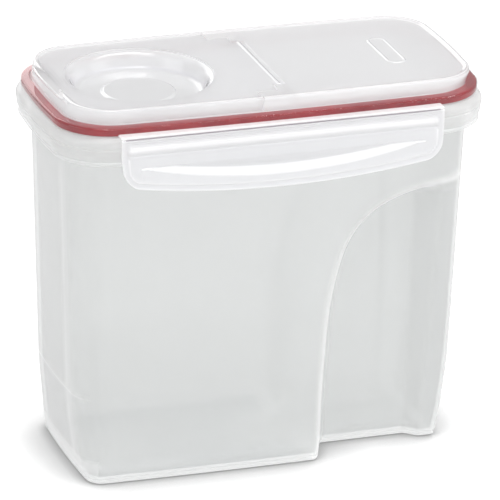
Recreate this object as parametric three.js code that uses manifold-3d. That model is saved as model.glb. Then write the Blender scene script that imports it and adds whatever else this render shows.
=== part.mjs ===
// Dry-food canister with a clear snap-on lid, a flip-up pour cap at the left end
// and a long snap latch on each long side.
//
// Millimetres, +Z up. The origin is the centre of the flat bottom.
// +X points to the grip end (right), -X to the pour end (left), -Y is the front long side.

import * as THREE from 'three';
import { ParametricGeometry } from 'three/addons/geometries/ParametricGeometry.js';
import { mergeVertices } from 'three/addons/utils/BufferGeometryUtils.js';
import Module from 'manifold-3d';

// ---------------------------------------------------------------- dimensions
// A plan loop is a rounded rectangle, [half X, half Y, corner radius], with bowed sides.
const CROWN_LONG = 1.36;            // bow of the long sides
const CROWN_SHORT = 0.96;           // bow of the short sides

// container body
const WALL = 2.0;                   // wall thickness
const FLOOR_TOP = 3.2;              // inside floor height
const MOUTH_Z = 206.8;              // top of the container mouth
const FLANGE_Z = 204.6;             // underside of the flange, inside the collar
const COLLAR_Z = 190.8;             // lower edge of the down-turned collar
const COLLAR_WIDEST_Z = 199.5;
const COLLAR_LOOP = [122.6, 60.2, 31.2];  // widest plan loop of the collar
const MOUTH_LOOP = [112.1, 47.5, 18.6];   // mouth opening

// lid
const RIM_LOOP = [120.7, 58.2, 31.0];
const RIM_Z0 = 207.2;
const RIM_Z1 = 211.2;
const LAND_Z = 212.3;               // flat land round the raised platform
const DECK_LOOP = [109.7, 45.1, 17.0];
const DECK_Z0 = 210.6;              // underside of the deck that carries the pour hole
const DECK_END_X = 9.9;             // right end of that deck
const SKIRT_LOOP = [110.5, 45.9, 17.6];
const SKIRT_T = 1.6;                // thickness of the lid's inner skirt
const SKIRT_Z = 200.5;              // bottom of the skirt
const CHANNEL_Z = 207.6;            // bottom of the gasket channel's inner wall

// raised platform, shared by the lid's right part and the pour cap
const PLATFORM_FOOT = [114.3, 52.5, 25.0];
const PLATFORM_TOP = [115.1, 53.3, 24.1];
const RAISED_Z0 = 211.4;            // bottom of the lid's raised part
const RAISED_X0 = 2.0;              // left end of the raised part between the rails
const PANEL_Z = 219.5;              // top panels, inside the raised edge bead
const BEAD_Z = 220.5;               // top of the edge bead
const PANEL_T = 1.6;                // panel thickness
const BEAD_W = 3.3;                 // width of the edge bead

// pour hole and plug
const WELL_X = -63.0;
const HOLE_R = 38.4;
const HOLE_COLLAR_T = 1.8;          // wall of the short collar round the hole
const HOLE_Z0 = 206.5;
const WELL_FLOOR_Z = 209.7;
const SEAL_R = 38.05;

// pour cap and its hinge
const CAP_Z0 = 212.7;               // bottom edge of the cap
const CAP_END_X = -10.8;            // right edge of the cap beside the tongue
const TONGUE_HALF = 42.6;           // half width of the cap's tongue
const TONGUE_END_X = 1.0;
const CAP_AXIS_X = 5.2;
const CAP_AXIS_Z = 217.4;
const BARREL_R = 2.4;
const BARREL_HALF = 34.6;
const GROOVE_R = 2.75;
const GROOVE_HALF = 35.4;
const PIN_R = 1.2;
const PIN_LENGTH_IN_BARREL = 2.4;
const PIN_BORE_R = 1.55;
const PIN_BORE_DEPTH = 2.8;
const RAIL_Y = 43.0;                // inner face of the lid's side rails
const RAIL_X = -10.0;               // left end of the side rails

// latches
const LATCH_X = -1.6;               // centre of each latch along X
const LATCH_HALF = 91.2;
const LATCH_FACE_Y = 64.8;          // outer face, measured from the middle plane
const LATCH_T = 1.8;
const LATCH_TOP = 207.15;
const LATCH_BOTTOM = 172.5;
const LATCH_CORNER_R = 9;
const LOWER_INSET = 1.6;            // inset of the thicker lower body from the outline
const LOWER_TOP = 188.6;
const LEDGE_ROOT_Y = 56.8;
const LEDGE_Y = 64.4;
const LEDGE_Z0 = 207.6;
const LEDGE_Z1 = 208.8;
const LEDGE_CORNER_R = 1.2;

// Reach of the cutting and keeping blocks, beyond every piece they act on.
const CLEAR_X = 130;
const CLEAR_Y = [-70, 70];
const CLEAR_Z = 222;

// Mesh resolution
const CORNER_STEPS = 6;
const SHORT_SIDE_STEPS = 3;
const LID_TURN_STEPS = 96;
const CAP_TURN_STEPS = 80;
const PIN_STEPS = 24;

// ---------------------------------------------------------------- solids
const wasm = await Module();
wasm.setup();

// Reverses every triangle of an indexed geometry whose enclosed volume is negative.
function faceOutward(geometry) {
  const { position } = geometry.attributes;
  const { index } = geometry;
  const [a, b, c] = [0, 1, 2].map(() => new THREE.Vector3());
  let volume = 0;
  for (let i = 0; i < index.count; i += 3) {
    a.fromBufferAttribute(position, index.getX(i));
    b.fromBufferAttribute(position, index.getX(i + 1));
    c.fromBufferAttribute(position, index.getX(i + 2));
    volume += a.dot(b.cross(c));
  }
  if (volume >= 0) return;
  for (let i = 0; i < index.count; i += 3) {
    const second = index.getX(i + 1);
    index.setX(i + 1, index.getX(i + 2));
    index.setX(i + 2, second);
  }
}

// A closed three.js geometry becomes a solid that can be joined and cut.
function solid(geometry) {
  geometry.deleteAttribute('normal');
  geometry.deleteAttribute('uv');
  const merged = mergeVertices(geometry, 1e-4);
  faceOutward(merged);
  const index = merged.index.array;
  const triangles = [];
  for (let i = 0; i < index.length; i += 3) {
    const [a, b, c] = index.slice(i, i + 3);
    if (a !== b && b !== c && c !== a) triangles.push(a, b, c);
  }
  const mesh = new wasm.Mesh({
    numProp: 3,
    vertProperties: Float32Array.from(merged.attributes.position.array),
    triVerts: Uint32Array.from(triangles),
  });
  mesh.merge();
  return new wasm.Manifold(mesh);
}

function geometryOf(manifold) {
  const mesh = manifold.getMesh();
  const geometry = new THREE.BufferGeometry();
  const positions = Float32Array.from(mesh.vertProperties);
  geometry.setAttribute('position', new THREE.BufferAttribute(positions, 3));
  geometry.setIndex(new THREE.BufferAttribute(Uint32Array.from(mesh.triVerts), 1));
  geometry.computeVertexNormals();
  return geometry;
}

const mirrorY = (manifold) => manifold.mirror([0, 1, 0]);

// Axis-aligned block from its range along each axis.
function block([x0, x1], [y0, y1], [z0, z1]) {
  return solid(new THREE.BoxGeometry(x1 - x0, y1 - y0, z1 - z0)
    .translate((x0 + x1) / 2, (y0 + y1) / 2, (z0 + z1) / 2));
}

// Round bar along Y, on the cap's hinge axis.
function hingeBar(radius, [y0, y1], segments = 32) {
  return solid(new THREE.CylinderGeometry(radius, radius, y1 - y0, segments)
    .translate(CAP_AXIS_X, (y0 + y1) / 2, CAP_AXIS_Z));
}

// The Y range from `near` to `far` on the front side and on the back side.
const bothSides = (near, far) => [[-far, -near], [near, far]];

// Turned solid about the well's vertical axis, from a profile of [radius, z] pairs.
function turnedAtWell(profile, segments) {
  const points = profile.map(([radius, z]) => new THREE.Vector2(radius, z));
  return solid(new THREE.LatheGeometry(points, segments)
    .rotateX(Math.PI / 2)
    .translate(WELL_X, 0, 0));
}

const disc = (radius, z0, z1, segments) => (
  turnedAtWell([[0, z0], [radius, z0], [radius, z1], [0, z1]], segments));

const polygon = (pairs) => new THREE.Shape(pairs.map(([x, y]) => new THREE.Vector2(x, y)));

const extruded = (shape, depth, curveSegments) => (
  new THREE.ExtrudeGeometry(shape, { depth, bevelEnabled: false, curveSegments }));

// An (x, z) shape extruded along Y, from y0 to y1.
function slab(shape, y0, y1) {
  return solid(extruded(shape, y1 - y0, 5)
    .rotateX(Math.PI / 2)                 // (x, y, z) -> (x, -z, y)
    .translate(0, y1, 0));
}

// ---------------------------------------------------------------- plan loops
// Every loop runs counter-clockwise seen from above and has its points in the same
// order, so neighbouring loops join without twist. `longFractions` are the places
// along each long side, from the pour end (0) towards the grip end (1).
function loopLayout(longFractions) {
  const even = (count) => Array.from({ length: count }, (_, i) => i / count);
  const corner = even(CORNER_STEPS);
  const short = even(SHORT_SIDE_STEPS);
  // the back side runs from the grip end, so it starts at 1 and leaves out 0
  const back = [...longFractions.slice(1), 1].reverse();
  return [
    ['front', longFractions], ['frontRight', corner], ['right', short], ['backRight', corner],
    ['back', back], ['backLeft', corner], ['left', short], ['frontLeft', corner],
  ].flatMap(([side, fractions]) => fractions.map((fraction) => ({ side, fraction })));
}

// [x, y] of one layout entry on a loop.
function loopPoint({ side, fraction }, [halfX, halfY, radius]) {
  const runX = halfX - radius;
  const runY = halfY - radius;
  const x = -runX + 2 * runX * fraction;
  const y = -runY + 2 * runY * fraction;
  const bowedX = halfX + CROWN_SHORT * (1 - (y / runY) ** 2);
  const bowedY = halfY + CROWN_LONG * (1 - (x / runX) ** 2);
  const sin = radius * Math.sin(fraction * Math.PI / 2);
  const cos = radius * Math.cos(fraction * Math.PI / 2);
  return {
    front: [x, -bowedY],
    frontRight: [runX + sin, -runY - cos],
    right: [bowedX, y],
    backRight: [runX + cos, runY + sin],
    back: [x, bowedY],
    backLeft: [-runX - sin, runY + cos],
    left: [-bowedX, -y],
    frontLeft: [-runX - cos, -runY - sin],
  }[side];
}

// A surface through stations [half X, half Y, radius, z, inner offset (default 0)].
// A ring profile closes on itself; otherwise both ends close at a point on the axis.
function swept(layout, stations, { ring = false, bend = null } = {}) {
  const columns = layout.length;
  const rows = ring ? stations.length : stations.length + 1;
  const surface = (u, v, target) => {
    const column = Math.round(u * columns) % columns;
    const row = Math.round(v * rows);
    if (!ring && row === 0) return target.set(0, 0, stations[0][3]);
    if (!ring && row === rows) return target.set(0, 0, stations.at(-1)[3]);
    const station = stations[ring ? row % rows : row - 1];
    const [, halfY, , z, innerOffset = 0] = station;
    const [x, y] = loopPoint(layout[column], station);
    target.set(x, y, z);
    if (bend) bend(target, halfY, innerOffset);
    return target;
  };
  return solid(new ParametricGeometry(surface, columns, rows));
}

// Station at height z on a loop moved inwards by `distance`.
const inset = ([halfX, halfY, radius], distance, z, radiusCut = distance) => (
  [halfX - distance, halfY - distance, radius - radiusCut, z]);

const rim = (distance, z) => inset(RIM_LOOP, distance, z, distance * 0.7);

const LID_LAYOUT = loopLayout(Array.from({ length: 12 }, (_, i) => i / 12));

// Finer over the grip.
const BODY_LAYOUT = loopLayout([
  0, 0.14, 0.28, 0.42, 0.54, 0.595, 0.62, 0.642, 0.664, 0.687, 0.712, 0.738, 0.766, 0.795,
  0.825, 0.856, 0.888, 0.916, 0.944, 0.972,
]);

const { lerp, smoothstep } = THREE.MathUtils;
const smooth = (t) => smoothstep(t, 0, 1);

// ---------------------------------------------------------------- grip
// Outline of the grip recess on the long sides, as (x, z): the wall to the right
// of and below it steps inwards.
const GRIP_EDGE = [
  [26.5, -5], [27.9, 10.3], [28.4, 38.4], [29.4, 62], [31.0, 88], [34.2, 108],
  [39.2, 125.5], [47.0, 139.0], [57.5, 148.5], [72.0, 155.3], [88.0, 159.2],
  [108, 161.2], [140, 162],
];
// Pairs are the values at the bottom and at the top of the grip.
const GRIP = {
  height: 160,
  halfThickness: [25.6, 30.5],      // half thickness across the grip
  stepWidth: 12.5,                  // width of the step that leads into the grip
  flareX: 86.0,                     // where the grip flares out towards the end wall
  flareLength: [9, 15],
  flare: [6.0, 13.0],               // outward flare at the end wall
  minX: 20,                         // the wall is plain left of this
  maxZ: 172,                        // and above this
  blend: 1.2,                       // reach of the rounding where wall and grip meet
};

// Signed distance from the grip's edge, positive inside the recess.
function gripDepth(x, z) {
  let nearest = Infinity;
  let sign = 1;
  for (let i = 0; i + 1 < GRIP_EDGE.length; i++) {
    const [x0, z0] = GRIP_EDGE[i];
    const [x1, z1] = GRIP_EDGE[i + 1];
    const dx = x1 - x0;
    const dz = z1 - z0;
    const along = ((x - x0) * dx + (z - z0) * dz) / (dx * dx + dz * dz);
    const t = Math.min(1, Math.max(0, along));
    const offX = x - (x0 + t * dx);
    const offZ = z - (z0 + t * dz);
    const distance = Math.hypot(offX, offZ);
    if (distance < nearest) {
      nearest = distance;
      sign = (dx * offZ - dz * offX) < 0 ? 1 : -1;
    }
  }
  return sign * nearest;
}

// Pulls a point of a body loop in to the grip surface. `innerOffset` is the offset
// of the inner surface from the outer one.
function gripBend(point, halfY, innerOffset) {
  const { x, z } = point;
  if (z > GRIP.maxZ || x < GRIP.minX) return;
  const pull = smooth((gripDepth(x, z) + innerOffset * 0.6) / GRIP.stepWidth);
  if (pull <= 0) return;
  const up = z / GRIP.height;
  const flared = smooth((x - GRIP.flareX) / lerp(...GRIP.flareLength, up));
  const gripY = lerp(...GRIP.halfThickness, up) + lerp(...GRIP.flare, up) * flared - innerOffset;
  const wallY = halfY + CROWN_LONG;
  const limit = wallY - (wallY - gripY) * pull;
  const y = Math.abs(point.y);
  if (y <= limit - GRIP.blend) return;
  const near = Math.max(0, GRIP.blend - Math.abs(y - limit)) / GRIP.blend;
  point.y = Math.sign(point.y) * (Math.min(y, limit) - near * near * GRIP.blend * 0.25);
}

// ---------------------------------------------------------------- container body
const BODY = {
  footZ: 40,                        // height of the foot, whose ends curve in
  footHalfX: 108.4,                 // half length at the top of the foot
  draftX: 0.0367,                   // growth of the half length per mm of height
  tuckX: 4.7,                       // how far the ends curve in at the bottom
  bottomHalfY: 45.4,
  draftY: 0.0185,
  bottomRadius: 9,
  footRadius: 17,                   // corner radius at the top of the foot
  radiusGrowth: 0.02,               // per mm of height above the foot
};
const OUTER_HEIGHTS = [
  1.4, 7, 16, 27, 40, 66, 90, 110, 122, 131, 138, 144, 149, 154, 159, 164, 172, 200,
];
const INNER_HEIGHTS = [
  200, 172, 162, 156, 151, 146, 140, 133, 124, 112, 92, 66, 40, 27, 16, 8,
];

// Plan loop of the body's outer wall at height z.
function bodyLoop(z) {
  const inFoot = z < BODY.footZ;
  const tuck = inFoot ? (1 - z / BODY.footZ) ** 2 : 0;
  const halfX = BODY.footHalfX + BODY.draftX * (z - BODY.footZ) - BODY.tuckX * tuck;
  const halfY = BODY.bottomHalfY + BODY.draftY * z;
  const footBlend = Math.sin((z / BODY.footZ) * Math.PI / 2);
  const radius = inFoot
    ? BODY.bottomRadius + (BODY.footRadius - BODY.bottomRadius) * footBlend
    : BODY.footRadius + BODY.radiusGrowth * (z - BODY.footZ);
  return [halfX, halfY, radius];
}

function containerBody() {
  return swept(BODY_LAYOUT, [
    // bottom edge and outer wall
    inset(bodyLoop(0), 1.2, 0, 1),
    ...OUTER_HEIGHTS.map((z) => [...bodyLoop(z), z]),
    [...bodyLoop(200), FLANGE_Z],
    // underside of the flange, then down the inside of the collar
    inset(COLLAR_LOOP, 3.6, FLANGE_Z, 2.6),
    inset(COLLAR_LOOP, 1.9, COLLAR_WIDEST_Z, 1.4),
    [118.4, 56.5, 28.4, COLLAR_Z],
    // collar outside
    [120.2, 58.3, 29.7, COLLAR_Z],
    [121.8, 59.5, 30.7, 195.0],
    [...COLLAR_LOOP, COLLAR_WIDEST_Z],
    [121.8, 59.4, 30.8, 204.0],
    [119.9, 57.6, 29.8, MOUTH_Z],
    // mouth land, inner wall and the rounded edge of the floor
    [...MOUTH_LOOP, MOUTH_Z],
    ...INNER_HEIGHTS.map((z) => [...inset(bodyLoop(z), WALL, z, WALL * 0.8), WALL]),
    [...inset(bodyLoop(4), WALL + 0.6, 4.4, WALL), WALL],
    [...inset(bodyLoop(3), WALL + 2.4, FLOOR_TOP, WALL), WALL],
  ], { bend: gripBend });
}

// ---------------------------------------------------------------- raised platform
// Solid platform with its rounded top edge, before the panels are recessed.
function platform(z0, bend) {
  return swept(LID_LAYOUT, [
    [...PLATFORM_FOOT, z0],
    [...PLATFORM_FOOT, LAND_Z],
    [...PLATFORM_TOP, 219.4],
    inset(PLATFORM_TOP, 0.5, 220.2),
    inset(PLATFORM_TOP, 1.3, BEAD_Z),
  ], { bend });
}

// The hollow under the platform's panels, from well below the platform.
function platformHollow(bend) {
  return swept(LID_LAYOUT, [
    inset(PLATFORM_FOOT, PANEL_T, 209.0),
    inset(PLATFORM_FOOT, PANEL_T, LAND_Z),
    inset(PLATFORM_TOP, PANEL_T, PANEL_Z - PANEL_T),
  ], { bend });
}

function panelRecess(bend) {
  return swept(LID_LAYOUT, [
    inset(PLATFORM_TOP, BEAD_W, PANEL_Z),
    inset(PLATFORM_TOP, BEAD_W - 0.8, PANEL_Z + 4),
  ], { bend });
}

// ---------------------------------------------------------------- lid
// Rim, inner skirt and the downward wall that bounds the gasket channel.
function rimRing() {
  const skirtInner = (z) => inset(SKIRT_LOOP, SKIRT_T, z, 1.4);
  return swept(LID_LAYOUT, [
    rim(0, RIM_Z0), rim(0, RIM_Z1), rim(0.9, 212.0), rim(4.5, LAND_Z),
    skirtInner(LAND_Z), skirtInner(SKIRT_Z), [...SKIRT_LOOP, SKIRT_Z], [...SKIRT_LOOP, DECK_Z0],
    rim(8.5, DECK_Z0), rim(8.5, CHANNEL_Z), rim(7.2, CHANNEL_Z), rim(7.2, DECK_Z0),
    rim(1.1, DECK_Z0), rim(1.1, RIM_Z0),
  ], { ring: true });
}

// Lower deck at the pour end.
function pourDeck() {
  return swept(LID_LAYOUT, [[...DECK_LOOP, DECK_Z0], [...DECK_LOOP, LAND_Z]])
    .intersect(block([-CLEAR_X, DECK_END_X], CLEAR_Y, [205, 214]));
}

// What the hinge removes: groove, the slot over it and the relief that lets the
// cap fold back.
function hingeCuts() {
  const grooveRange = [-GROOVE_HALF, GROOVE_HALF];
  const relief = polygon([
    [CAP_AXIS_X - 1, CAP_AXIS_Z + 0.2], [CAP_AXIS_X + 2.6, CAP_AXIS_Z + 0.2],
    [CAP_AXIS_X + 5.0, PANEL_Z + 0.3], [CAP_AXIS_X + 5.0, CLEAR_Z + 1],
    [CAP_AXIS_X - 1, CLEAR_Z + 1],
  ]);
  return [
    hingeBar(GROOVE_R, grooveRange),
    block([0, CAP_AXIS_X], grooveRange, [CAP_AXIS_Z - GROOVE_R, CLEAR_Z]),
    slab(relief, ...grooveRange),
  ];
}

// Raised part at the grip end, with the side rails and the hinge.
function raisedPart() {
  const height = [RAISED_Z0, CLEAR_Z];
  const full = platform(RAISED_Z0);
  const shell = full.subtract(platformHollow());
  // solid band that carries the hinge
  const band = full.intersect(block([-20, 10], CLEAR_Y, height));
  let keep = block([RAISED_X0, CLEAR_X], CLEAR_Y, height);
  for (const railRange of bothSides(RAIL_Y, CLEAR_Y[1])) {
    keep = keep.add(block([RAIL_X, 20], railRange, height));
  }
  let raised = shell.add(band).intersect(keep).subtract(panelRecess());
  for (const cut of hingeCuts()) raised = raised.subtract(cut);
  for (const pinRange of bothSides(BARREL_HALF - PIN_LENGTH_IN_BARREL, GROOVE_HALF + 1)) {
    raised = raised.add(hingeBar(PIN_R, pinRange, PIN_STEPS));
  }
  return raised;
}

// Straight ledge on the back side that the back latch hangs from.
function backLedge() {
  const x0 = LATCH_X - LATCH_HALF;
  const x1 = LATCH_X + LATCH_HALF;
  const shape = new THREE.Shape();
  shape.moveTo(x0, LEDGE_ROOT_Y);
  shape.lineTo(x1, LEDGE_ROOT_Y);
  shape.lineTo(x1, LEDGE_Y - LEDGE_CORNER_R);
  shape.quadraticCurveTo(x1, LEDGE_Y, x1 - LEDGE_CORNER_R, LEDGE_Y);
  shape.lineTo(x0 + LEDGE_CORNER_R, LEDGE_Y);
  shape.quadraticCurveTo(x0, LEDGE_Y, x0, LEDGE_Y - LEDGE_CORNER_R);
  shape.closePath();
  return solid(extruded(shape, LEDGE_Z1 - LEDGE_Z0, 3).translate(0, 0, LEDGE_Z0));
}

function lid() {
  let body = rimRing()
    .add(pourDeck())
    .add(disc(HOLE_R + HOLE_COLLAR_T, HOLE_Z0, LAND_Z - 0.1, LID_TURN_STEPS))
    .subtract(disc(HOLE_R, 204, 216, LID_TURN_STEPS))
    .add(raisedPart());
  // the ledges stop at the gasket channel
  const insideRim = swept(LID_LAYOUT, [rim(1.0, 200), rim(1.0, 215)]);
  const back = backLedge();
  for (const ledge of [mirrorY(back), back]) body = body.add(ledge.subtract(insideRim));
  return body;
}

// ---------------------------------------------------------------- rim gasket
function rimGasket() {
  return swept(LID_LAYOUT, [
    rim(1.35, 207.5), rim(1.35, 210.3), rim(6.95, 210.3), rim(6.95, 207.8),
    rim(5.6, 207.1), rim(4.2, 207.9), rim(2.8, 207.1),
  ], { ring: true });
}

// ---------------------------------------------------------------- pour cap
// The cap's left end wall leans inwards towards its top.
const LEAN = { amount: 2.0, startX: -70, lengthX: 42, startZ: 212, height: 7 };
const LIP = { halfWidth: 31, rise: 3.7, reach: 2.6, edgeX: -116.0, sweepBack: 2.2 };
const LIP_ROWS = 12;                // steps along Y
const LIP_SECTION_POINTS = 10;

// Profiles about the well axis, [radius, z].
const CUP_OUTER = [
  [0, 208.1], [34.6, 208.1], [36.2, 208.9], [37.0, 210.6], [37.5, 212.6], [38.7, 215.6],
  [40.3, 217.9], [42.3, PANEL_Z - 0.6], [0, PANEL_Z - 0.6],
];
const CUP_INNER = [
  [0, 210.5], [19.3, 210.5], [20.0, 210.2], [20.4, WELL_FLOOR_Z], [33.0, WELL_FLOOR_Z],
  [34.6, 210.2], [35.5, 211.6], [36.9, 215.4], [38.4, 217.6], [40.2, 219.0],
  [42.2, PANEL_Z + 0.02], [42.2, PANEL_Z + 2], [0, PANEL_Z + 2],
];
const SEAL_GROOVE = [
  [35.7, 209.25], [38.9, 209.25], [38.9, 211.35], [35.7, 211.35], [35.7, 209.25],
];
const SEAL = [
  [36.0, 209.6], [36.9, 209.5], [SEAL_R, 210.0], [SEAL_R, 210.6],
  [36.9, 211.1], [36.0, 211.0], [36.0, 209.6],
];

function capLean(point) {
  if (point.x >= LEAN.startX) return;
  const outward = smooth((LEAN.startX - point.x) / LEAN.lengthX);
  point.x += LEAN.amount * outward * smooth((point.z - LEAN.startZ) / LEAN.height);
}

// The lip's (x, z) section at y: it rises and reaches furthest at the middle.
function lipSection(y) {
  const side = (Math.abs(y) / LIP.halfWidth) ** 2;
  const rise = LIP.rise * (1 - side) ** 1.2;
  const tipX = LIP.edgeX - LIP.reach * (1 - side) + LIP.sweepBack * side;
  return [
    [-103.5, 218.4], [-103.5, PANEL_Z],
    [-108.0, PANEL_Z + 0.15 * rise], [-112.5, PANEL_Z + 0.5 * rise],
    [tipX + 0.6, PANEL_Z + rise], [tipX, 219.1 + rise],
    [tipX + 0.3, 218.3 + 0.8 * rise], [tipX + 1.8, 217.9 + 0.45 * rise],
    [-112.6, 217.4], [-108.0, 217.9],
  ];
}

// Thumb lip: the left end rises and reaches out past the end wall.
function thumbLip() {
  const rows = LIP_ROWS + 2;        // one more at each end closes the lip at a point
  const surface = (u, v, target) => {
    const row = Math.round(v * rows);
    const step = Math.min(LIP_ROWS, Math.max(0, row - 1));
    const y = -LIP.halfWidth + 2 * LIP.halfWidth * (step / LIP_ROWS);
    if (row === 0 || row === rows) return target.set(-111, y, 218.6);
    const [x, z] = lipSection(y)[Math.round(u * LIP_SECTION_POINTS) % LIP_SECTION_POINTS];
    return target.set(x, y, z);
  };
  return solid(new ParametricGeometry(surface, LIP_SECTION_POINTS, rows));
}

function pourCap() {
  const height = [CAP_Z0, CLEAR_Z];
  const barrelRange = [-BARREL_HALF, BARREL_HALF];
  const keep = block([-CLEAR_X, CAP_END_X], CLEAR_Y, height)
    .add(block([-20, TONGUE_END_X], [-TONGUE_HALF, TONGUE_HALF], height));
  // the well is a round cup that plugs the pour hole, with a raised disc on its floor
  const cup = turnedAtWell(CUP_OUTER, CAP_TURN_STEPS)
    .subtract(turnedAtWell(CUP_INNER, CAP_TURN_STEPS));
  let cap = platform(CAP_Z0, capLean)
    .subtract(platformHollow(capLean))
    .intersect(keep)
    .subtract(panelRecess(capLean))
    .add(thumbLip())
    .subtract(disc(41.2, 216.5, CLEAR_Z, CAP_TURN_STEPS))
    .add(cup)
    .subtract(turnedAtWell(SEAL_GROOVE, CAP_TURN_STEPS));

  // web from the tongue to the hinge barrel, and a blind bore at each barrel end
  cap = cap.add(block([-2, CAP_AXIS_X], barrelRange, [PANEL_Z - PANEL_T, PANEL_Z]));
  cap = cap.add(hingeBar(BARREL_R, barrelRange));
  for (const boreRange of bothSides(BARREL_HALF - PIN_BORE_DEPTH, BARREL_HALF + 1)) {
    cap = cap.subtract(hingeBar(PIN_BORE_R, boreRange, PIN_STEPS));
  }
  return cap;
}

const pourCapSeal = () => turnedAtWell(SEAL, CAP_TURN_STEPS);

// ---------------------------------------------------------------- latches
// Moulding sections, [distance behind the front face, z].
const RIB_SECTION = [
  [0.6, 203.9], [-0.2, 203.6], [-0.75, 202.6], [-0.95, 201.3], [-0.75, 200.0],
  [-0.2, 199.0], [0.6, 198.7],
];
const CATCH_SECTION = [[1.0, 190.4], [1.9, 190.2], [2.6, 189.6], [2.6, 188.0], [1.0, 187.6]];
const SCOOP_HALF = [79, 2.0, 5.4];  // half sizes of the ellipsoid finger recess
const SCOOP_Z = 185.4;

// The latch outline as (x, z), moved inwards by `margin` and cut off at zTop. Its
// lower edge rises towards both ends.
function latchOutline(margin, zTop) {
  const radius = LATCH_CORNER_R - margin;
  const x0 = LATCH_X - LATCH_HALF + margin;
  const x1 = LATCH_X + LATCH_HALF - margin;
  const edge0 = x0 + radius;
  const edge1 = x1 - radius;
  const edgeSteps = 16;
  const bottom = (x) => LATCH_BOTTOM + 3.9 * ((x - LATCH_X) / 65) ** 2 + margin;
  const shape = new THREE.Shape();
  shape.moveTo(x0, zTop);
  shape.lineTo(x0, bottom(edge0) + radius);
  shape.quadraticCurveTo(x0, bottom(edge0) + 0.8, edge0, bottom(edge0));
  for (let i = 1; i <= edgeSteps; i++) {
    const x = edge0 + (x1 - x0 - 2 * radius) * (i / edgeSteps);
    shape.lineTo(x, bottom(x));
  }
  shape.quadraticCurveTo(x1, bottom(edge1) + 0.8, x1, bottom(edge1) + radius);
  shape.lineTo(x1, zTop);
  shape.closePath();
  return shape;
}

// Moulding along X on the front latch, centred on it.
function moulding(section, halfLength) {
  const shape = polygon(section.map(([behind, z]) => [behind - LATCH_FACE_Y, z]));
  // shape x -> world Y, shape y -> world Z, depth -> world X
  const turn = new THREE.Matrix4().set(0, 0, 1, 0, 1, 0, 0, 0, 0, 1, 0, 0, 0, 0, 0, 1);
  return solid(extruded(shape, 2 * halfLength)
    .applyMatrix4(turn)
    .translate(LATCH_X - halfLength, 0, 0));
}

function frontLatch() {
  const face = -LATCH_FACE_Y;
  const scoop = solid(new THREE.SphereGeometry(1, 32, 12)
    .scale(...SCOOP_HALF)
    .translate(LATCH_X, face - 0.3, SCOOP_Z));
  return slab(latchOutline(0, LATCH_TOP), face, face + LATCH_T)
    // thicker lower body behind the finger recess; it passes in front of the collar
    .add(slab(latchOutline(LOWER_INSET, LOWER_TOP), face + 0.4, face + 2.6))
    // convex rib across the upper face
    .add(moulding(RIB_SECTION, LATCH_HALF - 4))
    // catch bead that snaps under the collar's lower edge
    .add(moulding(CATCH_SECTION, 70))
    .subtract(scoop);
}

// ---------------------------------------------------------------- scene graph
const canister = new THREE.Group();

function place(name, manifold, { color, roughness }) {
  const material = new THREE.MeshStandardMaterial({ color, roughness, metalness: 0 });
  const mesh = new THREE.Mesh(geometryOf(manifold), material);
  mesh.name = name;
  canister.add(mesh);
}

const latch = frontLatch();
const latchPlastic = { color: 0xe3e4e8, roughness: 0.25 };

place('container_body', containerBody(), { color: 0xd4d8d9, roughness: 0.45 });
place('lid', lid(), { color: 0xe6e7e9, roughness: 0.2 });
place('rim_gasket', rimGasket(), { color: 0x5c0a0a, roughness: 0.5 });
place('pour_cap', pourCap(), { color: 0xe9eaec, roughness: 0.2 });
place('pour_cap_seal', pourCapSeal(), { color: 0xdcdce0, roughness: 0.5 });
place('front_latch', latch, latchPlastic);
place('back_latch', mirrorY(latch), latchPlastic);

export default canister;
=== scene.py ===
"""Food container with a clip-on lid, a hinged round pour cap and two side latches.

All pieces are drawn in millimetres in the row frame and scaled to metres when the
mesh is made. +X is the grip end, -X the pour end, -Y the front and +Z is up.
"""
import math

import bpy
import numpy as np
from mathutils import Matrix, Vector


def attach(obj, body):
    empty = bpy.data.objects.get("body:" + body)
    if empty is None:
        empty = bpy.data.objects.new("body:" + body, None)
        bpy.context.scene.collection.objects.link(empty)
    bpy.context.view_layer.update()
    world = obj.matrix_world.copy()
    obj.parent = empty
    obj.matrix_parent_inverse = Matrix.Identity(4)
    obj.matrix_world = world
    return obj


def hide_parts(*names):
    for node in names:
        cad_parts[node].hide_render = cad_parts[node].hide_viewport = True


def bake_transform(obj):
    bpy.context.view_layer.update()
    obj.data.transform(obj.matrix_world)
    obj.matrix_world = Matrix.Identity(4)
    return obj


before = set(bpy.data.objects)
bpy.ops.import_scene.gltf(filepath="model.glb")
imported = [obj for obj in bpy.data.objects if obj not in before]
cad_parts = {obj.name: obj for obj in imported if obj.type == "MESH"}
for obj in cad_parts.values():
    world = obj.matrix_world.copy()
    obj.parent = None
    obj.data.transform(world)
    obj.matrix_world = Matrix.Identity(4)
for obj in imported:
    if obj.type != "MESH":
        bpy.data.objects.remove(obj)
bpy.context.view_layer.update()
scene = bpy.context.scene

MM = 0.001

# ---------------------------------------------------------------- dimensions (mm)
# Outlines are (half length, half width, corner radius). Their sides bow outwards
# by CROWN: the long sides by the first number, the short sides by the second.
CROWN = (1.36, 0.96)

# container
WALL, FLOOR_TOP = 2.0, 3.2
CREASE_Z = 50.0
MOUTH_Z, COLLAR_Z = 206.8, 190.8
GRIP_TOP_Z = 176

# lid
RIM = (120.7, 58.2, 31.0)
SKIRT_OUTER, SKIRT_INNER = (110.5, 45.9, 17.6), (108.9, 44.3, 16.2)
DECK = (109.7, 45.1, 17.0)
RIM_Z0, RIM_Z1, LAND_Z, DECK_Z0, SKIRT_Z = 207.2, 211.2, 212.3, 210.6, 200.5

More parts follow.
